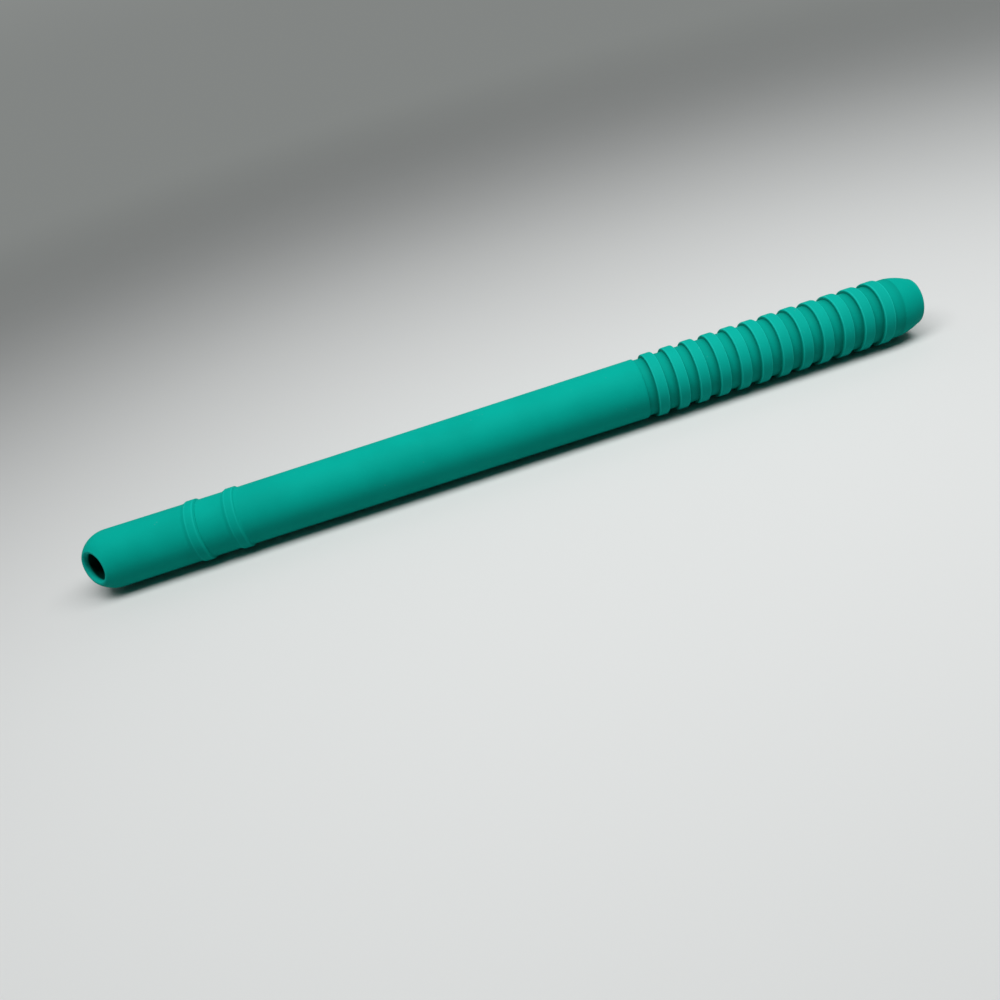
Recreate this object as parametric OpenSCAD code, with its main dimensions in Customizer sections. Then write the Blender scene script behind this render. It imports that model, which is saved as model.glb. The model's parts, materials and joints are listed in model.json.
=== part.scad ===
// Stylus sleeve lying on its side: +X from the domed rear end to the nose, +Z up.
// The origin is on the table under the middle of the sleeve.

/* [Sleeve] */
// Overall length from the domed end to the nose
length = 158.2; // [150:0.1:168]
// Outside radius of the domed rear end
rear_r = 5.44; // [5.0:0.01:5.8]
// Outside radius at the waist between the raised bands
waist_r = 5.35; // [5.0:0.01:5.8]
// Outside radius of the barrel at its front edge
front_r = 5.58; // [5.2:0.01:6.0]
// Radius of the barrel's bore, which holds the stylus
bore_r = 4.5; // [3.6:0.01:4.6]
// Radius of the bore in the cap and the grip, a touch wider than the barrel's
slack_r = 4.66; // [3.8:0.01:4.75]

/* [Rear cap] */
// Distance from the domed end to the cap's open rim
cap_len = 22.75; // [20:0.05:26]
// Radius of the small chamber in the dome, behind the stylus's end
chamber_r = 4.25; // [2.8:0.05:4.4]
// Radius of the slanting vent through the dome
vent_r = 2.7; // [1.5:0.05:2.8]
// Angle of the vent from the rear direction of the axis
vent_slant = 51; // [40:1:60]
// Height of the vent around the axis, up from the front side
vent_roll = 17; // [0:1:90]
// Depth of the eased edge around the vent's mouth
vent_lip = 0.6; // [0.1:0.05:1]

/* [Raised bands] */
// Position of the rear band, on the cap's rim
band_1 = 21.55; // [20:0.05:24]
// Position of the front band, on the barrel
band_2 = 28.8; // [26:0.05:34]
// Width of a band at its foot
band_w = 2.2; // [1.5:0.05:4]
// Height of a band over the barrel
band_h = 0.32; // [0.1:0.01:0.8]

/* [Barrel] */
// Position of the barrel's front edge
barrel_end = 105.05; // [95:0.05:115]

/* [Grip] */
// Number of ribs
rib_count = 12; // [6:1:14]
// Distance from rib to rib
rib_pitch = 3.9; // [3:0.05:5]
// Position of the first rib's middle
rib_first = 107.78; // [106:0.01:112]
// Width of a rib
rib_w = 2; // [1:0.05:3]
// Outside radius of the ribs
rib_r = 5.88; // [5.5:0.01:6.4]
// Radius of the grooves between the ribs
groove_r = 5.27; // [4.9:0.01:5.6]
// Rounding of the ribs' edges
rib_edge = 0.25; // [0:0.05:0.5]
// Position of the grip's front edge
grip_end = 153.8; // [148:0.05:158]
// How far the soft ribs are pressed flat where the sleeve lies on the table
rest_flat = 0.02; // [0:0.005:0.1]

/* [Nose ring] */
// Radius of the nose where it meets the grip's collar
nose_r = 5.5; // [4.9:0.01:5.6]
// Radius of the nose at its front rim
tip_r = 4.0; // [3.5:0.01:4.8]
// Radius of the mouth that the nib comes out of
mouth_r = 2.9; // [2:0.05:3.5]
// Length of the nose ring's neck inside the grip
neck_len = 5; // [3:0.1:9]

/* [Ferrules] */
// Thickness of a ferrule's wall
ferrule_t = 0.25; // [0.2:0.01:0.4]
// Length of a ferrule inside the barrel
ferrule_in = 8.2; // [5:0.1:14]
// Length of a ferrule that a plugged-on piece covers
ferrule_out = 7.35; // [4:0.05:12]
// Gap around a ferrule in the piece that pulls off it
slip_gap = 0.05; // [0.02:0.01:0.1]

/* [Hidden] */
$fn = 96;
axis_h = rib_r - rest_flat;
waist = (band_1 + band_2) / 2;
ferrule_r = bore_r + ferrule_t;
socket_r = ferrule_r + slip_gap;
end_play = 0.4;
// Turn of the round pieces about the axis, which puts the start of each turn on top
seam_turn = 180;
silicone = [0.02, 0.66, 0.6];
metal = [0.72, 0.74, 0.76];

// Outside radius of the plain barrel at a distance from the domed end
function skin(x) = x < waist
    ? rear_r + (waist_r - rear_r) * (x - rear_r) / (waist - rear_r)
    : waist_r + (front_r - waist_r) * (x - waist) / (barrel_end - waist);

// Points of a soft raised band, from its rear foot to its front foot
function band(x) = [for (i = [0 : 16]) let (t = i / 8 - 1)
    [skin(x) + band_h * pow(1 - pow(abs(t), 3), 0.9), x + t * band_w / 2]];

// Points of one rib, from its rear foot to its front foot, whose radius is given
function rib(x, foot_r) = [
    [groove_r, x - rib_w / 2],
    [rib_r - rib_edge, x - rib_w / 2],
    [rib_r - 0.3 * rib_edge, x - rib_w / 2 + 0.3 * rib_edge],
    [rib_r, x - rib_w / 2 + rib_edge],
    [rib_r, x + rib_w / 2 - rib_edge],
    [rib_r - 0.3 * rib_edge, x + rib_w / 2 - 0.3 * rib_edge],
    [rib_r - rib_edge, x + rib_w / 2],
    [foot_r, x + rib_w / 2]
];

// Turns a half profile, radius and distance from the domed end, about the sleeve's axis
module turned(points) {
    rotate([0, 0, seam_turn]) rotate_extrude() polygon(points);
}

// Lays a piece turned about Z down along X at its place over the table
module laid() {
    translate([-length / 2, 0, axis_h]) rotate([0, 90, 0]) children();
}

// A quarter disc whose straight sides are the axis and the plane across the sleeve at x
module rounded_end(r, x) {
    intersection() {
        translate([0, x]) circle(r);
        translate([0, x - r]) square(r);
    }
}

// The vent, aimed at the dome's centre, with a mouth that widens to the skin
module vent() {
    flare_from = sqrt(rear_r * rear_r - vent_r * vent_r) - vent_lip;
    translate([0, 0, rear_r]) rotate([0, 0, 270 - vent_roll]) rotate([0, 180 - vent_slant, 0]) {
        translate([0, 0, 1]) cylinder(r = vent_r, h = rear_r);
        translate([0, 0, flare_from]) cylinder(r1 = vent_r, r2 = vent_r + 3, h = 3);
    }
}

module rear_cap() {
    color(silicone) laid() difference() {
        rotate([0, 0, seam_turn]) rotate_extrude() union() {
            rounded_end(rear_r, rear_r);
            polygon(concat([[0, rear_r], [rear_r, rear_r]], band(band_1),
                [[skin(cap_len), cap_len], [0, cap_len]]));
        }
        rotate([0, 0, seam_turn]) rotate_extrude() union() {
            rounded_end(chamber_r, rear_r);
            polygon([[0, rear_r], [chamber_r, rear_r], [chamber_r, rear_r + 1],
                [slack_r, rear_r + 1 + slack_r - chamber_r],
                [slack_r, cap_len - ferrule_out - end_play], [socket_r, cap_len - ferrule_out - end_play],
                [socket_r, cap_len + 1], [0, cap_len + 1]]);
        }
        vent();
    }
}

module rear_ferrule() {
    color(metal) laid() turned([
        [bore_r, cap_len - ferrule_out], [ferrule_r - 0.1, cap_len - ferrule_out],
        [ferrule_r, cap_len - ferrule_out + 0.4], [ferrule_r, cap_len + ferrule_in],
        [bore_r, cap_len + ferrule_in]]);
}

module barrel() {
    color(silicone) laid() turned(concat(
        [[ferrule_r, cap_len], [skin(cap_len), cap_len]],
        band(band_2),
        [[front_r, barrel_end - 0.12], [front_r - 0.12, barrel_end],
         [ferrule_r, barrel_end], [ferrule_r, barrel_end - ferrule_in],
         [bore_r, barrel_end - ferrule_in], [bore_r, cap_len + ferrule_in],
         [ferrule_r, cap_len + ferrule_in]]));
}

module front_ferrule() {
    color(metal) laid() turned([
        [bore_r, barrel_end - ferrule_in], [ferrule_r, barrel_end - ferrule_in],
        [ferrule_r, barrel_end + ferrule_out - 0.4], [ferrule_r - 0.1, barrel_end + ferrule_out],
        [bore_r, barrel_end + ferrule_out]]);
}

// The last rib steps down to a collar as wide as the nose
module grip() {
    color(silicone) difference() {
        laid() turned(concat(
            [[socket_r, barrel_end], [groove_r, barrel_end]],
            [for (i = [0 : rib_count - 1])
                each rib(rib_first + i * rib_pitch, i < rib_count - 1 ? groove_r : nose_r)],
            [[nose_r, grip_end], [slack_r, grip_end],
             [slack_r, barrel_end + ferrule_out + end_play],
             [socket_r, barrel_end + ferrule_out + end_play]]));
        translate([0, -rib_r, -rib_r]) cube([length, 2 * rib_r, rib_r]);
    }
}

module nose_ring() {
    bulge = 0.2;
    rim = 0.45;
    run = length - rim - grip_end;
    color(silicone) laid() turned(concat(
        [for (i = [0 : 10]) let (t = i / 10)
            [nose_r + (tip_r + rim * 0.7 - nose_r) * t + 4 * bulge * t * (1 - t), grip_end + run * t]],
        [for (i = [1 : 6]) let (a = i * 15)
            [tip_r - rim * 0.3 + rim * cos(a), length - rim + rim * sin(a)]],
        [[mouth_r + 0.3, length], [mouth_r, length - 0.3], [mouth_r, length - 3.2],
         [slack_r - 0.5, grip_end - neck_len], [slack_r, grip_end - neck_len], [slack_r, grip_end]]));
}

rear_cap();
rear_ferrule();
barrel();
front_ferrule();
grip();
nose_ring();
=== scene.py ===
# %% [markdown]
# A soft teal stylus sleeve, lying on a pale table. The CAD model is the fixed frame: it says where each
# piece is and how it moves. This script dresses that frame. It makes a fine mesh for every piece, gives
# it a finish, and sets up the table, the light and the camera.

# %% Load the frame
import json
import math
import bmesh
import bpy
import numpy as np
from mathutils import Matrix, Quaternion, Vector


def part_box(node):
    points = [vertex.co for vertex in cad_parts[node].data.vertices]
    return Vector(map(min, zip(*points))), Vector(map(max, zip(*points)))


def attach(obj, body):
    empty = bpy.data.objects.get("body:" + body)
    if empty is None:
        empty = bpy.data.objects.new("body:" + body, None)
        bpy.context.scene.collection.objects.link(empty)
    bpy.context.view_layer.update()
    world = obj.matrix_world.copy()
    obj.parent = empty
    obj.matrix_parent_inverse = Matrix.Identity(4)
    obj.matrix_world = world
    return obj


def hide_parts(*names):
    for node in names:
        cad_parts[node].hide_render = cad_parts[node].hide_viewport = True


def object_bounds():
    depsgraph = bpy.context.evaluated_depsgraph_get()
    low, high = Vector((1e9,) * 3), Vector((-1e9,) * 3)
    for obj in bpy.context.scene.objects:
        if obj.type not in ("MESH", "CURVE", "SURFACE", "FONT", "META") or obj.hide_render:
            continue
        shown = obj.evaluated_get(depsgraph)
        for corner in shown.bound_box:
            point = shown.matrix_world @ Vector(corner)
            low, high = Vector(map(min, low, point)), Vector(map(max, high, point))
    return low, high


MM = 0.001                             # one millimetre, in Blender's metres


def in_mm(box):
    """The two corners of a box in millimetres, rounded for printing."""
    return [[round(c / MM, 2) for c in corner] for corner in box]


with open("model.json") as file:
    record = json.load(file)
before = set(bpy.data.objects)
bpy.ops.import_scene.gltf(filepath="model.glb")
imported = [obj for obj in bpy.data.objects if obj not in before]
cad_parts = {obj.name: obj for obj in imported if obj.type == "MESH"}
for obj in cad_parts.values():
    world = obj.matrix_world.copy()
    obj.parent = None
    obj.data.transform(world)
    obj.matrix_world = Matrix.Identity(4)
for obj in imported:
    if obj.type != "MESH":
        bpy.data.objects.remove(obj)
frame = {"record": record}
cad_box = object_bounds()
print("CAD box in mm:", in_mm(cad_box))

# %% [markdown]
# Nearly every size can be read from the frame. Each piece is round about one axis along X, so a node's box
# gives where it starts and ends along the sleeve and its widest radius. The radius is read across the
# table: the soft ribs are pressed flat by a hair underneath. Sizes are kept in millimetres, counted from
# the domed end, and turned into metres only when a mesh is made.

# %% Read the sleeve's own sizes
REAR_X = cad_box[0].x / MM


def span(node):
    """Where a node starts and ends along the sleeve, in mm from the domed end, and its widest radius."""
    low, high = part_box(node)
    return low[0] / MM - REAR_X, high[0] / MM - REAR_X, (high[1] - low[1]) / 2 / MM


_, cap_rim, band_r = span("rear_cap")
ferrule_rear, ferrule_front, ferrule_r = span("rear_ferrule")
barrel_rear, barrel_front, _ = span("barrel")
plug_rear, plug_front, _ = span("front_ferrule")
grip_rear, grip_front, rib_r = span("grip")
neck_rear, nose_front, nose_r = span("nose_ring")
AXIS_Z = cad_box[1].z / MM - rib_r
print(f"cap to {cap_rim:.2f} mm, barrel to {barrel_front:.2f} mm")
print(f"grip to {grip_front:.2f} mm, nose to {nose_front:.2f} mm")

# %% [markdown]
# A few sizes are inside a node or between its features, so the boxes don't show them. They are the same
# driving sizes as the CAD model's: the barrel's draft, the two bands, the ribs, the bores and the vent.

# %% Sizes that the boxes don't show
REAR_R, WAIST_R, FRONT_R = 5.44, 5.35, 5.58   # outside radius at the dome, the waist and the barrel's edge
BORE_R, SLACK_R, SOCKET_R = 4.5, 4.66, 4.8    # inside radius of the barrel, of cap and grip, over a ferrule
CHAMBER_R = 4.25                       # the small hollow behind the stylus's end
BAND_1, BAND_2, BAND_H = 21.55, 28.8, 0.32    # the bands' middles and their height
RIB_COUNT, RIB_PITCH, RIB_FIRST, RIB_W = 12, 3.9, 107.78, 2.0
GROOVE_R = 5.27                        # between the ribs
TIP_R, MOUTH_R = 4.0, 2.9              # the nose's front rim and the mouth in it
END_PLAY = 0.4                         # gap in front of a ferrule's free end
vent_mount = next(m for m in frame["record"]["mounts"] if m["name"] == "vent")
VENT_R = vent_mount["dims"]["r_mm"]
VENT_AIM = Vector(vent_mount["axis"]).normalized()          # out of the dome, back and to the near side
VENT_ROLL = math.atan2(VENT_AIM.z, -VENT_AIM.y)             # its height around the axis


def skin(x):
    """Outside radius of the plain sleeve: a slight draft from the waist between the bands to each end."""
    waist = (BAND_1 + BAND_2) / 2
    return float(np.interp(x, [REAR_R, waist, barrel_front], [REAR_R, WAIST_R, FRONT_R]))


print(f"barrel radius {skin(cap_rim):.3f} mm at the cap, {skin(barrel_front):.3f} mm at the grip")

# %% [markdown]
# Every piece is a stack of rings with the same number of points, joined ring to ring, and the last ring
# joined to the first. A turned piece gets its rings from a half profile. A modifier could turn the
# profile too, but rings made one by one can also leave the round shape, and the cap's vent needs that.
# Edges that stay sharp are marked by the angle between their faces.

# %% Rings and meshes
AROUND = 160                           # points in a ring
SHARP_ANGLE = 38                       # degrees between two faces from which their edge stays sharp
TURN = np.arange(AROUND) * 2 * math.pi / AROUND + VENT_ROLL
OUTWARD = np.stack([np.zeros(AROUND), -np.cos(TURN), np.sin(TURN)], 1)   # the first is at the vent's height
ALONG = np.array([1.0, 0.0, 0.0])


def ring(x, r):
    """One ring of points, in mm, at a distance from the domed end and at a radius."""
    return ALONG * x + OUTWARD * r


def ring_faces(count):
    """Four-sided faces from each ring to the next, and from the last ring to the first."""
    faces = []
    for i in range(count):
        here, there = i * AROUND, (i + 1) % count * AROUND
        for j in range(AROUND):
            k = (j + 1) % AROUND
            faces.append((here + j, there + j, there + k, here + k))
    return faces


def mesh_from_rings(name, rings, sharp=SHARP_ANGLE):
    """Joins closed rings into a closed skin and places it in the frame, in metres."""
    points = np.concatenate(rings) * MM + np.array([REAR_X, 0, AXIS_Z]) * MM
    points[:, 2] = np.maximum(points[:, 2], 0)          # the table presses the lowest ribs flat
    mesh = bpy.data.meshes.new(name)
    mesh.from_pydata(points.tolist(), [], ring_faces(len(rings)))
    shape = bmesh.new()
    shape.from_mesh(mesh)
    bmesh.ops.recalc_face_normals(shape, faces=shape.faces)
    for edge in shape.edges:
        edge.smooth = edge.calc_face_angle(0) < math.radians(sharp)
    for face in shape.faces:
        face.smooth = True
    shape.to_mesh(mesh)
    shape.free()
    piece = bpy.data.objects.new(name, mesh)
    bpy.context.scene.collection.objects.link(piece)
    print(f"{name}: {len(rings)} rings, {len(mesh.vertices)} points")
    return piece


print("rings have", AROUND, "points, edges are sharp from", SHARP_ANGLE, "degrees")

# %% [markdown]
# Soft rubber has no knife edges: each corner of a profile is eased with a small arc. A bevel modifier could
# do it after turning, but easing the profile first gives the same radius everywhere and keeps all faces
# four-sided. Long straight runs are split so that no face gets too thin and long.

# %% Profiles with eased corners
LONGEST = 2.5                          # longest straight step along a profile, mm
ARC_STEP = 15                          # degrees of an arc from point to point
STRAIGHT = 0.02                        # a corner that turns by less, in radians, gets no arc
MOST_CUT = 0.48                        # an arc takes at most this share of the shorter side beside it


def corner_arc(here, before, after, ease):
    """Points of the arc that eases one corner; before and after lead to the corners beside it."""
    run = min(np.linalg.norm(before), np.linalg.norm(after))
    before, after = before / np.linalg.norm(before), after / np.linalg.norm(after)
    turn = math.pi - math.acos(max(-1.0, min(1.0, before @ after)))
    if ease <= 0 or turn < STRAIGHT:
        return [here]
    cut = min(ease * math.tan(turn / 2), run * MOST_CUT)
    radius = cut / math.tan(turn / 2)
    inward = (before + after) / np.linalg.norm(before + after)
    middle = here + inward * radius / math.cos(turn / 2)
    start, end = here + before * cut - middle, here + after * cut - middle
    steps = max(2, math.ceil(turn / math.radians(ARC_STEP)))
    arc = []
    for t in np.linspace(0, 1, steps + 1):
        arc.append(middle + (start * math.sin((1 - t) * turn) + end * math.sin(t * turn)) / math.sin(turn))
    return arc


def split(points):
    """The same closed profile with its long straight steps divided."""
    out = []
    for a, b in zip(points, [*points[1:], points[0]]):
        pieces = max(1, math.ceil(np.linalg.norm(b - a) / LONGEST))
        out += [a + (b - a) * k / pieces for k in range(pieces)]
    return out


def eased(corners):
    """Closed profile from (distance, radius, easing) corners, each corner rounded by its easing radius."""
    spots = [np.array([x, r]) for x, r, _ in corners]
    out = []
    for i, here in enumerate(spots):
        following = spots[(i + 1) % len(spots)]
        out += corner_arc(here, spots[i - 1] - here, following - here, corners[i][2])
    return split(out)


def turned(name, corners, sharp=SHARP_ANGLE):
    """A turned piece from a closed profile."""
    return mesh_from_rings(name, [ring(x, r) for x, r in eased(corners)], sharp)


print("straight steps up to", LONGEST, "mm, arcs in steps of", ARC_STEP, "degrees")

# %% [markdown]
# A raised band is a low step around the sleeve: a flat crown that rises on a soft slope behind and drops on
# a steep one in front, as the rim of a cap does. Its shoulders and feet get their own easing, and the feet
# more, because the inner corners of a moulding are the roundest.

# %% The raised bands
BAND_REAR, CROWN_REAR = 1.3, 0.68      # from a band's middle back to its foot and its crown's edge
BAND_FRONT, CROWN_FRONT = 1.16, 0.9    # the same toward the nose
SHOULDER_EASE, BAND_FOOT_EASE = 0.25, 0.9


def band(middle):
    """Profile corners of one raised band, rear foot to front foot."""
    foot, shoulder = middle - BAND_REAR, middle - CROWN_REAR
    front_shoulder, front_foot = middle + CROWN_FRONT, middle + BAND_FRONT
    return [(foot, skin(foot), BAND_FOOT_EASE),
            (shoulder, skin(shoulder) + BAND_H, SHOULDER_EASE),
            (front_shoulder, skin(front_shoulder) + BAND_H, SHOULDER_EASE),
            (front_foot, skin(front_foot), BAND_FOOT_EASE)]


print("band crown radius", round(max(p[1] for p in band(BAND_1)), 3), "mm, CAD", round(band_r, 3))

# %% [markdown]
# The barrel is the long smooth tube. Its front edge is the crisp line before the ribs, so it gets only a
# tiny easing. Inside, it has a step at each end where a ferrule is bonded in.

# %% Barrel
SEAM_EASE, EDGE_EASE = 0.1, 0.09       # at the cap's seam and at the crisp front edge
barrel = turned("barrel_skin", [
    (barrel_rear, ferrule_r, 0), (barrel_rear, skin(barrel_rear), SEAM_EASE), *band(BAND_2),
    (barrel_front, FRONT_R, EDGE_EASE), (barrel_front, ferrule_r, 0),
    (plug_rear, ferrule_r, 0), (plug_rear, BORE_R, 0),
    (ferrule_front, BORE_R, 0), (ferrule_front, ferrule_r, 0)])
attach(barrel, "barrel")
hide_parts("barrel")

# %% [markdown]
# The grip is a row of square ribs with eased crowns and slightly eased feet. One rib is four corners, and
# a loop repeats it. The grooves are a little narrower than the barrel and the ribs a little wider, which
# makes the steps in the sleeve's outline. The last rib steps down only to a collar, as wide as the nose.
# Edges stay sharp only from a larger angle here, so that the short arcs shade softly.

# %% Grip
CROWN_EASE, FOOT_EASE, RIM_EASE = 0.28, 0.12, 0.05
RIB_SHARP_ANGLE = 60
rib_corners = []
for i in range(RIB_COUNT):
    rib_rear = RIB_FIRST + i * RIB_PITCH - RIB_W / 2
    rib_front = rib_rear + RIB_W
    front_foot = GROOVE_R if i < RIB_COUNT - 1 else nose_r
    rib_corners += [(rib_rear, GROOVE_R, FOOT_EASE), (rib_rear, rib_r, CROWN_EASE),
                    (rib_front, rib_r, CROWN_EASE), (rib_front, front_foot, FOOT_EASE)]
grip = turned("grip_skin", [
    (grip_rear, SOCKET_R, 0), (grip_rear, GROOVE_R, RIM_EASE), *rib_corners,
    (grip_front, nose_r, RIM_EASE), (grip_front, SLACK_R, 0),
    (plug_front + END_PLAY, SLACK_R, 0), (plug_front + END_PLAY, SOCKET_R, 0)], RIB_SHARP_ANGLE)
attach(grip, "grip")
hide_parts("grip")

# %% [markdown]
# The nose ring closes the front. Outside it bows gently in to a round rim. Inside, a cone guides the
# stylus's tip to the mouth, and a neck plugs into the grip.

# %% Nose ring
NOSE_BOW, BOW_STEPS = 0.2, 16          # how far the side bows out of straight, and its steps
RIM = 0.45                             # rounding of the rim
RIM_CENTRE = TIP_R - 0.3 * RIM         # radius at the middle of that rounding
LINE_EASE = 0.06                       # at the faint line where two pieces meet
MOUTH_DEPTH, MOUTH_EASE = 3.2, 0.3
NECK_WALL, NECK_EASE = 0.5, 0.1        # the neck's inner end
bow = []
for i in range(BOW_STEPS + 1):
    t = i / BOW_STEPS
    x = grip_front + (nose_front - RIM - grip_front) * t
    r = nose_r + (RIM_CENTRE + RIM - nose_r) * t + 4 * NOSE_BOW * t * (1 - t)
    bow.append((x, r, 0 if i else LINE_EASE))
rim = [(nose_front - RIM + RIM * math.sin(a), RIM_CENTRE + RIM * math.cos(a), 0)
       for a in np.radians(np.arange(10, 91, 10))]
nose = turned("nose_skin", [
    *bow, *rim, (nose_front, MOUTH_R, MOUTH_EASE), (nose_front - MOUTH_DEPTH, MOUTH_R, MOUTH_EASE),
    (neck_rear, SLACK_R - NECK_WALL, NECK_EASE), (neck_rear, SLACK_R, NECK_EASE), (grip_front, SLACK_R, 0)])
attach(nose, "grip")
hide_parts("nose_ring")

# %% [markdown]
# The rear cap is a dome with one slanting vent through it. A boolean cut would leave a hard, ragged lip.
# Here the rings themselves run out of the skirt, over the dome along great circles to the vent, round its
# lip, down its wall and back along the hollow. Every ring keeps its points in step, so the lip is a true arc.

# %% Directions on the dome
LIP, INNER_LIP = 0.42, 0.12            # rounding of the vent's edges, outside and inside
dome_middle = ALONG * REAR_R
aim = np.array(VENT_AIM)
across = OUTWARD - np.outer(OUTWARD @ aim, aim)
across /= np.linalg.norm(across, axis=1, keepdims=True)   # at the vent, toward each point of the dome's foot


def great_circle(start, end, t):
    """Directions a share t of the way from start to end, row by row."""
    angle = np.arccos(np.clip((start * end).sum(1), -1, 1))[:, None]
    return (start * np.sin((1 - t) * angle) + end * np.sin(t * angle)) / np.sin(angle)


def from_vent(turn):
    """Directions at an angle from the vent's axis, toward each point of the dome's foot."""
    return math.cos(turn) * aim + math.sin(turn) * across


print("vent axis", np.round(aim, 3), "on a dome of radius", REAR_R, "mm")

# %% The dome, the lip and the vent's wall
DOME_STEPS, LIP_STEPS, WALL_STEPS, CHAMBER_STEPS = 44, 14, 4, 24
CROWDING = 1.3                         # over 1, the dome's rings crowd toward the vent


def lip_arc(radius, depth, first, last):
    """Rings around a rounded edge of the vent; angles are counted from the vent's axis, outward."""
    rings = []
    for a in np.linspace(first, last, LIP_STEPS + 1)[1:]:
        aside = VENT_R + radius * (1 + math.sin(a))
        rings.append(dome_middle + across * aside + aim * (depth + radius * math.cos(a)))
    return rings


lip_deep = math.sqrt((REAR_R - LIP) ** 2 - (VENT_R + LIP) ** 2)
lip_turn = math.atan2(VENT_R + LIP, lip_deep)
inner_deep = math.sqrt((CHAMBER_R + INNER_LIP) ** 2 - (VENT_R + INNER_LIP) ** 2)
inner_turn = math.atan2(VENT_R + INNER_LIP, inner_deep)
dome, chamber = [], []
for i in range(1, DOME_STEPS + 1):
    share = 1 - (1 - i / DOME_STEPS) ** CROWDING
    dome.append(dome_middle + REAR_R * great_circle(OUTWARD, from_vent(lip_turn), share))
for i in range(1, CHAMBER_STEPS + 1):
    share = i / CHAMBER_STEPS
    chamber.append(dome_middle + CHAMBER_R * great_circle(from_vent(inner_turn), OUTWARD, share))
lip = lip_arc(LIP, lip_deep, lip_turn, -math.pi / 2)
wall = [dome_middle + across * VENT_R + aim * depth
        for depth in np.linspace(lip_deep, inner_deep, WALL_STEPS + 1)[1:]]
wall += lip_arc(INNER_LIP, inner_deep, -math.pi / 2, inner_turn - math.pi)
print(f"lip starts {math.degrees(lip_turn):.1f} degrees from the vent's axis")
print(f"straight wall {lip_deep - inner_deep:.2f} mm")

# %% Rear cap
SEAT_RUN = 1                           # straight run of the hollow before it widens
seat = REAR_R + SEAT_RUN
stop = ferrule_rear - END_PLAY
skirt = eased([
    (seat, CHAMBER_R, 0), (seat + SLACK_R - CHAMBER_R, SLACK_R, 0), (stop, SLACK_R, 0), (stop, SOCKET_R, 0),
    (cap_rim, SOCKET_R, RIM_EASE), (cap_rim, skin(cap_rim), LINE_EASE),
    *reversed(band(BAND_1)), (REAR_R, REAR_R, 0)])
cap = mesh_from_rings("cap_skin", [ring(x, r) for x, r in skirt] + dome + lip + wall + chamber)
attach(cap, "rear_cap")
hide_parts("rear_cap")

# %% [markdown]
# The two ferrules are thin turned tubes, hidden until the cap or the grip is pulled off. The end that a
# piece slides over is tapered and eased so that soft rubber goes over it without catching.

# %% Ferrules
LEAD, TAPER = 0.4, 0.1                 # length and depth of the tapered end
TUBE_EASE, LEAD_EASE = 0.06, 0.3


def ferrule(name, node, inner_end, free_end):
    """One thin tube with a tapered free end."""
    lead = LEAD if inner_end > free_end else -LEAD
    tube = turned(name, [
        (free_end, BORE_R, TUBE_EASE), (free_end, ferrule_r - TAPER, TUBE_EASE),
        (free_end + lead, ferrule_r, LEAD_EASE), (inner_end, ferrule_r, 0), (inner_end, BORE_R, 0)])
    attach(tube, "barrel")
    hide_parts(node)
    return tube


rear_tube = ferrule("rear_tube", "rear_ferrule", ferrule_front, ferrule_rear)
front_tube = ferrule("front_tube", "front_ferrule", plug_rear, plug_front)

# %% [markdown]
# Shader nodes are easier to read as sums. One small class holds a socket: arithmetic on it adds Math
# nodes, and one method adds any other node with its settings and its sockets.

# %% A socket that can be calculated with
class Wire:
    """One output in a node tree; with no socket it only starts a tree."""

    def __init__(self, tree, socket=None):
        self.tree, self.socket = tree, socket

    def node(self, kind, settings=None, sockets=None, out=0):
        """Adds a node: settings first, then values or links by socket name or number."""
        made = self.tree.nodes.new(kind)
        for key, value in (settings or {}).items():
            setattr(made, key, value)
        for key, value in (sockets or {}).items():
            if isinstance(value, Wire):
                self.tree.links.new(value.socket, made.inputs[key])
            else:
                made.inputs[key].default_value = value
        return Wire(self.tree, made.outputs[out])

    def maths(self, operation, a, b=0):
        """One Math node on numbers or wires."""
        return self.node("ShaderNodeMath", {"operation": operation}, {0: a, 1: b})

    def __add__(self, other):
        return self.maths("ADD", self, other)

    def __radd__(self, other):
        return self.maths("ADD", other, self)

    def __sub__(self, other):
        return self.maths("SUBTRACT", self, other)

    def __rsub__(self, other):
        return self.maths("SUBTRACT", other, self)

    def __mul__(self, other):
        return self.maths("MULTIPLY", self, other)

    def __rmul__(self, other):
        return self.maths("MULTIPLY", other, self)

    def __truediv__(self, other):
        return self.maths("DIVIDE", self, other)

    def __rtruediv__(self, other):
        return self.maths("DIVIDE", other, self)

    def __pow__(self, other):
        return self.maths("POWER", self, other)

    def __rpow__(self, other):
        return self.maths("POWER", other, self)

    def step(self, low, high):
        """A soft step: 0 under low, 1 over high. With low over high it falls instead."""
        return self.node("ShaderNodeMapRange", {"interpolation_type": "SMOOTHSTEP"},
                         {"Value": self, "From Min": low, "From Max": high})

    def mix(self, a, b):
        """Colour a where this is 0, colour b where it is 1."""
        return self.node("ShaderNodeMix", {"data_type": "RGBA"}, {"Factor": self, 6: a, 7: b}, out=2)


def new_material(name):
    """A finish to fill in: the material, its shader node and a wire at the object's own place."""
    material = bpy.data.materials.new(name)
    material.use_nodes = True
    tree = material.node_tree
    place = Wire(tree).node("ShaderNodeTexCoord", out="Object")
    return material, tree.nodes["Principled BSDF"], place


def noise(place, scale, detail, rough=0.5):
    """Cloudy pattern from 0 to 1; scale counts clouds per metre."""
    return place.node("ShaderNodeTexNoise", None, {
        "Vector": place, "Scale": scale, "Detail": detail, "Roughness": rough})


def connect(shader, name, wire):
    """Links a wire to one of a shader's sockets."""
    wire.tree.links.new(wire.socket, shader.inputs[name])


print("shader helper ready")
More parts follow.
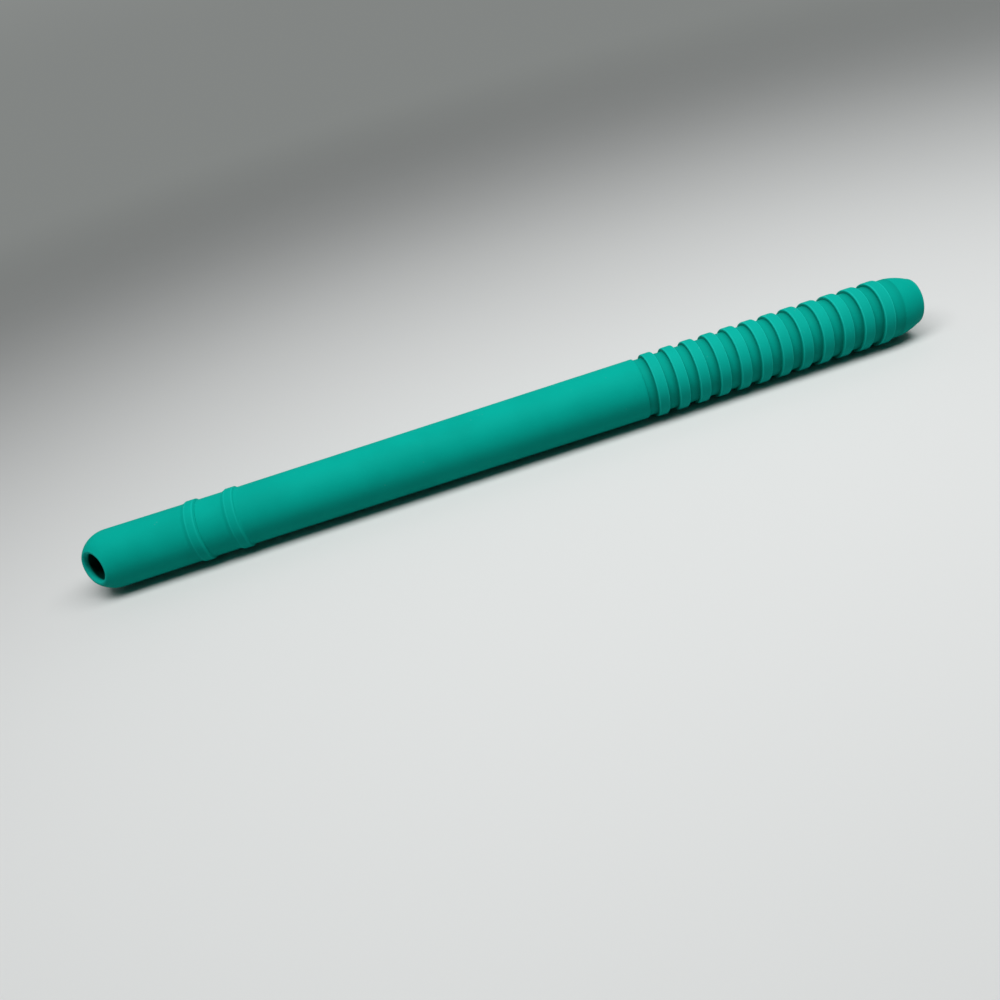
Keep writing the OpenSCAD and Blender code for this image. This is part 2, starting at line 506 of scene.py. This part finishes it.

# %% [markdown]
# Moulded silicone is matte and evenly coloured, but not perfectly: the pigment clouds a little, some places
# are smoother than others, the skin has a fine grain from the mould, and a little dust sticks to it.
# The crowns of the ribs and bands are paler, most along their edges: partly wear, partly painted highlight.
# The vent's lip gets a painted highlight. The grooves get painted shade, deepest up against the next rib,
# and the inside gets the darkest painted shade. All of it is worked out from the place on the object, so it
# holds from every side: the distance along the sleeve says how far the nearest ridge is, and the distance
# from the axis says whether the skin is a crown, a groove or the inside.

# %% Places on the sleeve
def sleeve_place(place):
    """Distance from the domed end and from the axis, in mm; on the dome, from the dome's middle."""
    x, y, z = (place.node("ShaderNodeSeparateXYZ", None, {0: place}, out=i) for i in range(3))
    along = x / MM - REAR_X
    y, z = y / MM, z / MM - AXIS_Z
    behind = along.maths("MAXIMUM", REAR_R - along)
    return along, (behind * behind + y * y + z * z) ** 0.5


print("places are counted from", round(REAR_X, 2), "mm along and", round(AXIS_Z, 2), "mm up")

# %% Paler crowns with painted highlight, and painted shade in the grooves
ZONE_PAST, ZONE_FADE = 2.0, 0.1        # a row's paler crowns and painted shade reach this far past its outer edges, and fade
EDGE_IN = 0.1                          # the palest line, of wear and painted highlight, lies this far in from a crown's edge
EDGE_FADE = 0.2, 0.02                  # from that line, where the paling starts and where it is full
CROWN_FADE = 0.22, 0.06                # below the crown, where its paling starts and where it is full
GROOVE_FADE = 0.3, 0.46                # below the crown, where the painted shade starts and where it is full
FOOT_REACH = 1.2                       # how far before the next crown's edge the painted shade deepens
GROOVE_SHADE, FOOT_SHADE = 0.5, 0.9        # the painted shade all over a groove, and what a foot adds


def ridge_masks(along, reach, first, pitch, count, half, crown_r, share):
    """Wear with painted highlight on a row's crowns, and painted shade in its grooves;
    share is how much paling a crown gets all over.
    """
    start = first - half - ZONE_PAST
    end = first + (count - 1) * pitch + half + ZONE_PAST
    zone = along.step(start - ZONE_FADE, start) * along.step(end + ZONE_FADE, end)
    distance = along.maths("PINGPONG", along - first, pitch / 2)
    edge = along.maths("ABSOLUTE", distance - (half - EDGE_IN)).step(*EDGE_FADE)
    turn = along.maths("FRACT", (along - first) / pitch)
    foot = turn.step(1 - (half + FOOT_REACH) / pitch, 1 - (half - EDGE_IN) / pitch)
    crown = zone * reach.step(*(crown_r - below for below in CROWN_FADE))
    groove = zone * reach.step(*(crown_r - below for below in GROOVE_FADE))
    return crown * (share + edge * (1 - share)), groove * (GROOVE_SHADE + foot * FOOT_SHADE)


print("rub and film follow", RIB_COUNT, "ribs and 2 bands")

# %% Painted highlight on the vent's lip
LIP_SPREAD = 0.5                       # how far out on the dome the lip's painted highlight fades, mm
LIP_DEPTH = 0.1, 0.6                   # over the hollow, where the painted highlight on the wall starts and where it is full


def lip_highlight_mask(place, reach):
    """Painted highlight: 1 on the vent's rounded lip and the start of its wall, 0 a little way out on the
    dome.
    """
    dome_place = ((REAR_X + REAR_R) * MM, 0, AXIS_Z * MM)
    offset = place.node("ShaderNodeVectorMath", {"operation": "SUBTRACT"}, {0: place, 1: dome_place})
    outward = place.node("ShaderNodeVectorMath", {"operation": "DOT_PRODUCT"},
                         {0: offset, 1: VENT_AIM}, out="Value") / MM
    aside = place.maths("MAXIMUM", reach * reach - outward * outward) ** 0.5
    near = aside.step(VENT_R + LIP + LIP_SPREAD, VENT_R + LIP)
    return near * outward.step(0, 1) * reach.step(*(CHAMBER_R + over for over in LIP_DEPTH))


print("the lip's rub ends", round(VENT_R + LIP + LIP_SPREAD, 2), "mm from the vent's axis")

# %% Teal silicone
TEAL = (0.0012, 0.43, 0.345, 1)
TEAL_DEEP = (0.0010, 0.39, 0.312, 1)
# painted shade for the grooves
TEAL_PAINTED_SHADE = (0.0005, 0.19, 0.145, 1)
# paler teal: wear with painted highlight on the crowns, painted highlight on the vent's lip
TEAL_WEAR_AND_HIGHLIGHT = (0.012, 0.63, 0.53, 1)
# painted shade for the inside of the hollows
TEAL_SHADED_INSIDE = (0.0004, 0.10, 0.075, 1)
DUST = (0.30, 0.52, 0.48, 1)
CLOUDS, UNEVEN, GRAIN = 120, 45, 5200  # patterns, counted per metre
SPECKS, SPECK_PATCHES = 900, 300
CLOUD_RANGE, SPECK_SIZE, PATCH_RANGE = (0.3, 0.75), (0.16, 0.06), (0.6, 0.72)
PALING_LEAST, PALING_VARIES = 0.7, 0.6       # how uneven the wear and painted highlight are
# painted highlight on the vent's lip, and how much dust there is
LIP_HIGHLIGHT, DUST_SHARE = 0.4, 0.1
INSIDE_FADE = 0.3                      # mm over which the painted shade inside deepens
MATTE = 0.56                           # roughness, and what each pattern changes it by
UNEVEN_MATTE, GRAIN_MATTE, RUBBED_SHINE = 0.1, 0.06, 0.05
GRAIN_DEPTH, GRAIN_STRENGTH = 0.02 * MM, 0.12
SOFT_GLOSS = 0.02


def silicone(name, paling, painted_shade, inside_r, *ridges):
    """Matte teal silicone; the two amounts say how far wear and painted highlight pale its crowns
    and painted shade darkens its grooves.
    """
    material, shader, place = new_material(name)
    uneven, grain = noise(place, UNEVEN, 2), noise(place, GRAIN, 2, 0.6)
    along, reach = sleeve_place(place)
    wear_and_highlight, painted_groove_shade = ridge_masks(along, reach, *ridges)
    wear_and_highlight = wear_and_highlight * paling * (PALING_LEAST + uneven * PALING_VARIES)
    colour = noise(place, CLOUDS, 3).step(*CLOUD_RANGE).mix(TEAL, TEAL_DEEP)
    # painted shade in the grooves, deepest at the foot of the next rib
    if painted_shade:
        colour = (painted_groove_shade * painted_shade).mix(colour, TEAL_PAINTED_SHADE)
    # wear with painted highlight pales the crowns, most along their edges
    colour = wear_and_highlight.mix(colour, TEAL_WEAR_AND_HIGHLIGHT)
    # painted highlight on the vent's lip
    colour = (lip_highlight_mask(place, reach) * LIP_HIGHLIGHT).mix(colour, TEAL_WEAR_AND_HIGHLIGHT)
    # painted shade inside the hollows, darkest deepest in
    colour = reach.step(inside_r + INSIDE_FADE, inside_r).mix(colour, TEAL_SHADED_INSIDE)
    specks = place.node("ShaderNodeTexVoronoi", {"feature": "F1"}, {"Vector": place, "Scale": SPECKS})
    dust = specks.step(*SPECK_SIZE) * noise(place, SPECK_PATCHES, 1).step(*PATCH_RANGE)
    connect(shader, "Base Color", (dust * DUST_SHARE).mix(colour, DUST))
    roughness = MATTE + uneven * UNEVEN_MATTE + grain * GRAIN_MATTE - wear_and_highlight * RUBBED_SHINE
    connect(shader, "Roughness", roughness)
    connect(shader, "Normal", place.node("ShaderNodeBump", None, {
        "Strength": GRAIN_STRENGTH, "Distance": GRAIN_DEPTH, "Height": grain}))
    shader.inputs["Specular IOR Level"].default_value = SOFT_GLOSS
    return material


print("silicone colour", TEAL[:3])

# %% Silicone on the pieces
# crown paling by wear and painted highlight, painted shade in the grooves, and the share of a whole crown
BAND_WEAR_AND_HIGHLIGHT, BAND_PAINTED_SHADE, BAND_SHARE = 0.25, 0.0, 0.05
RIB_WEAR_AND_HIGHLIGHT, RIB_PAINTED_SHADE, RIB_SHARE = 0.7, 0.5, 0.22
crown_middle, crown_half = (CROWN_FRONT - CROWN_REAR) / 2, (CROWN_FRONT + CROWN_REAR) / 2
banded_silicone = silicone(
    "teal silicone with bands", BAND_WEAR_AND_HIGHLIGHT, BAND_PAINTED_SHADE, CHAMBER_R,
    BAND_1 + crown_middle, BAND_2 - BAND_1, 2, crown_half, WAIST_R + BAND_H, BAND_SHARE)
ribbed_silicone = silicone(
    "teal silicone with ribs", RIB_WEAR_AND_HIGHLIGHT, RIB_PAINTED_SHADE, MOUTH_R,
    RIB_FIRST, RIB_PITCH, RIB_COUNT, RIB_W / 2, rib_r, RIB_SHARE)
for piece, finish in ((barrel, banded_silicone), (cap, banded_silicone),
                      (grip, ribbed_silicone), (nose, ribbed_silicone)):
    piece.data.materials.append(finish)
    print(piece.name, "in", finish.name)

# %% [markdown]
# The ferrules are turned aluminium. A lathe leaves very fine rings around the tube, so the pattern is
# stretched around the axis: it changes fast along X and slowly across.

# %% Turned aluminium
ALUMINIUM, ALUMINIUM_DULL = (0.80, 0.81, 0.82, 1), (0.66, 0.67, 0.69, 1)
LATHE_LINES, STAINS = 9000, 350        # patterns, counted per metre
LINE_STRETCH = (1, 0.03, 0.03)
STAIN_RANGE = (0.35, 0.75)
SATIN, LINE_MATTE, STAIN_MATTE = 0.26, 0.16, 0.08   # roughness, and what each pattern adds
LINE_DEPTH, LINE_STRENGTH = 0.01 * MM, 0.2


def turned_metal():
    """Satin metal with fine lathe lines and faint dull stains."""
    material, shader, place = new_material("turned aluminium")
    stretched = place.node("ShaderNodeVectorMath", {"operation": "MULTIPLY"}, {0: place, 1: LINE_STRETCH})
    lines, stains = noise(stretched, LATHE_LINES, 3, 0.7), noise(place, STAINS, 2)
    connect(shader, "Base Color", stains.step(*STAIN_RANGE).mix(ALUMINIUM, ALUMINIUM_DULL))
    connect(shader, "Roughness", SATIN + lines * LINE_MATTE + stains * STAIN_MATTE)
    connect(shader, "Normal", place.node("ShaderNodeBump", None, {
        "Strength": LINE_STRENGTH, "Distance": LINE_DEPTH, "Height": lines}))
    shader.inputs["Metallic"].default_value = 1.0
    return material


metal = turned_metal()
for tube in (rear_tube, front_tube):
    tube.data.materials.append(metal)
    print(tube.name, "in", metal.name)

# %% [markdown]
# The table is one large pale sheet, a mesh with a few divisions and a barely clouded matte finish, so that
# it keeps the sleeve's shadow and stays plain. Further off it fades into a grey backdrop, which hides the
# horizon from every side: a Mix Shader goes over to an even glow, but only for rays that see it directly.
# Soft bounced light finds a darker table, which keeps the sleeve's lower side deep.

# %% Table
TABLE_HALF, TABLE_CELLS = 3.0, 8       # half its width in metres, and its divisions each way
row = TABLE_CELLS + 1
ticks = np.linspace(-TABLE_HALF, TABLE_HALF, row)
starts = [j * row + i for j in range(TABLE_CELLS) for i in range(TABLE_CELLS)]
sheet = bpy.data.meshes.new("table")
sheet.from_pydata([(x, y, 0.0) for y in ticks for x in ticks], [],
                  [(a, a + 1, a + row + 1, a + row) for a in starts])
table = bpy.data.objects.new("table", sheet)
bpy.context.scene.collection.objects.link(table)
print("table", TABLE_HALF * 2, "m wide")

# %% Pale table finish
TABLE = (0.77, 0.785, 0.78, 1)
TABLE_CLOUD = (0.74, 0.755, 0.75, 1)
TABLE_BOUNCE = (0.43, 0.44, 0.435, 1)
BACKDROP = (0.225, 0.236, 0.23, 1)
TABLE_CLOUDS, TABLE_PATCHES = 4, 60    # patterns, counted per metre
TABLE_RANGE, TABLE_FADE = (0.3, 0.7), (0.1, 0.6)    # the fade is in metres from the sleeve's middle
TABLE_MATTE, PATCH_MATTE, TABLE_GLOSS = 0.6, 0.1, 0.2


def seen_directly(tree):
    """1 for rays from the camera, or from it by way of a mirror or glass; 0 for soft bounced light."""
    camera_ray, mirror_ray, glass_ray = (
        Wire(tree).node("ShaderNodeLightPath", out=f"Is {kind} Ray")
        for kind in ("Camera", "Glossy", "Transmission"))
    seen = camera_ray + mirror_ray + glass_ray
    return seen.maths("MINIMUM", seen, 1.0)


table_finish, shader, place = new_material("pale table")
seen = seen_directly(place.tree)
pale = noise(place, TABLE_CLOUDS, 2).step(*TABLE_RANGE).mix(TABLE, TABLE_CLOUD)
connect(shader, "Base Color", seen.mix(TABLE_BOUNCE, pale))
connect(shader, "Roughness", TABLE_MATTE + noise(place, TABLE_PATCHES, 2) * PATCH_MATTE)
shader.inputs["Specular IOR Level"].default_value = TABLE_GLOSS
distance = place.node("ShaderNodeVectorMath", {"operation": "LENGTH"}, {0: place}, out="Value")
glow = place.node("ShaderNodeEmission", None, {"Color": BACKDROP})
faded = place.node("ShaderNodeMixShader", None, {
    0: distance.step(*TABLE_FADE) * seen, 1: Wire(place.tree, shader.outputs[0]), 2: glow})
connect(place.tree.nodes["Material Output"], "Surface", faded)
table.data.materials.append(table_finish)
print("table fades out from", TABLE_FADE[0], "to", TABLE_FADE[1], "m")

# %% [markdown]
# The light is one broad lamp close overhead, on the near side, and a dim sky. The lamp gives the bright
# upper side, the dark lower side and the soft narrow shadow, and because it is close the table is brightest
# around the sleeve. The sky is nearly dark except high on the far side, from where it lifts the sleeve's
# upper edge. Rays that look straight at the sky see the grey backdrop instead, paler higher up.

# %% Sky
SKY_NEAR, SKY_FAR = (0.01, 0.0101, 0.0102, 1), (0.33, 0.335, 0.34, 1)
SKY_HIGH = (0.74, 0.76, 0.75, 1)
FAR_SIDE, HIGH_UP = (-0.1, 0.9), (0.1, 0.7)    # where the sky's light starts and is full, along Y and Z
PALE_RISE = (0.0, 0.6)                         # the same for the backdrop's paler top
world = bpy.data.worlds.new("studio")
bpy.context.scene.world = world
world.use_nodes = True
sky = world.node_tree
heading = Wire(sky).node("ShaderNodeTexCoord", out="Generated")
depth, rise = (heading.node("ShaderNodeSeparateXYZ", None, {0: heading}, out=i) for i in (1, 2))
light = (depth.step(*FAR_SIDE) * rise.step(*HIGH_UP)).mix(SKY_NEAR, SKY_FAR)
backdrop = rise.step(*PALE_RISE).mix(BACKDROP, SKY_HIGH)
connect(sky.nodes["Background"], "Color", seen_directly(sky).mix(light, backdrop))
print("sky light from", SKY_NEAR[0], "to", SKY_FAR[0])

# %% Lamp
LAMP_LENGTH, LAMP_WIDTH, LAMP_WATTS = 0.42, 0.12, 0.81
LAMP_PLACE = Vector((0.035, -0.05, 0.24))
LAMP_TURN = 4                          # degrees; its left end comes a little nearer
lamp_data = bpy.data.lights.new("overhead lamp", "AREA")
lamp_data.shape, lamp_data.size, lamp_data.size_y = "RECTANGLE", LAMP_LENGTH, LAMP_WIDTH
lamp_data.energy = LAMP_WATTS
lamp = bpy.data.objects.new("overhead lamp", lamp_data)
lamp.location = LAMP_PLACE
lamp.rotation_mode = "QUATERNION"
aim_down = Vector((0, -LAMP_PLACE.y, -LAMP_PLACE.z)).to_track_quat("-Z", "Y")
lamp.rotation_quaternion = Quaternion((0, 0, 1), math.radians(LAMP_TURN)) @ aim_down
bpy.context.scene.collection.objects.link(lamp)
print("lamp", LAMP_WATTS, "W at", tuple(round(c, 3) for c in LAMP_PLACE))

# %% [markdown]
# The camera is close and wide, almost square to the sleeve, and turned about its own view line so that the
# sleeve rises to the right. Its place is given by the point of the axis nearest to it, its distance
# from there and its height angle. It aims at a point that lies a little below the sleeve in the view.

# %% Camera
NEAREST_X, DISTANCE, HEIGHT_ANGLE = -9.0, 154.65, 28.0
AIM_X, AIM_BELOW, ROLL = -4.58, 11.55, -16.94
FOCAL_PIXELS, FRAME_PIXELS, SENSOR = 847.2, 1000.0, 36.0
NEAR_CLIP, FAR_CLIP = 0.005, 20
height = math.radians(HEIGHT_ANGLE)
toward = Vector((0, -math.cos(height), math.sin(height)))
below = Vector((0, -math.sin(height), -math.cos(height)))
spot = (Vector((NEAREST_X, 0, AXIS_Z)) + toward * DISTANCE) * MM
target = (Vector((AIM_X, 0, AXIS_Z)) + below * AIM_BELOW) * MM
lens = bpy.data.cameras.new("camera")
lens.sensor_width, lens.lens = SENSOR, SENSOR * FOCAL_PIXELS / FRAME_PIXELS
lens.clip_start, lens.clip_end = NEAR_CLIP, FAR_CLIP
camera = bpy.data.objects.new("camera", lens)
camera.location = spot
camera.rotation_mode = "QUATERNION"
level = (target - spot).to_track_quat("-Z", "Y")
camera.rotation_quaternion = level @ Quaternion((0, 0, 1), math.radians(ROLL))
bpy.context.scene.collection.objects.link(camera)
bpy.context.scene.camera = camera
bpy.context.scene.view_settings.view_transform = "Standard"
print("camera", round(lens.lens, 1), "mm lens,", round((target - spot).length, 3), "m away")

# %% [markdown]
# The last step updates the view layer.

# %% Last update
bpy.context.view_layer.update()
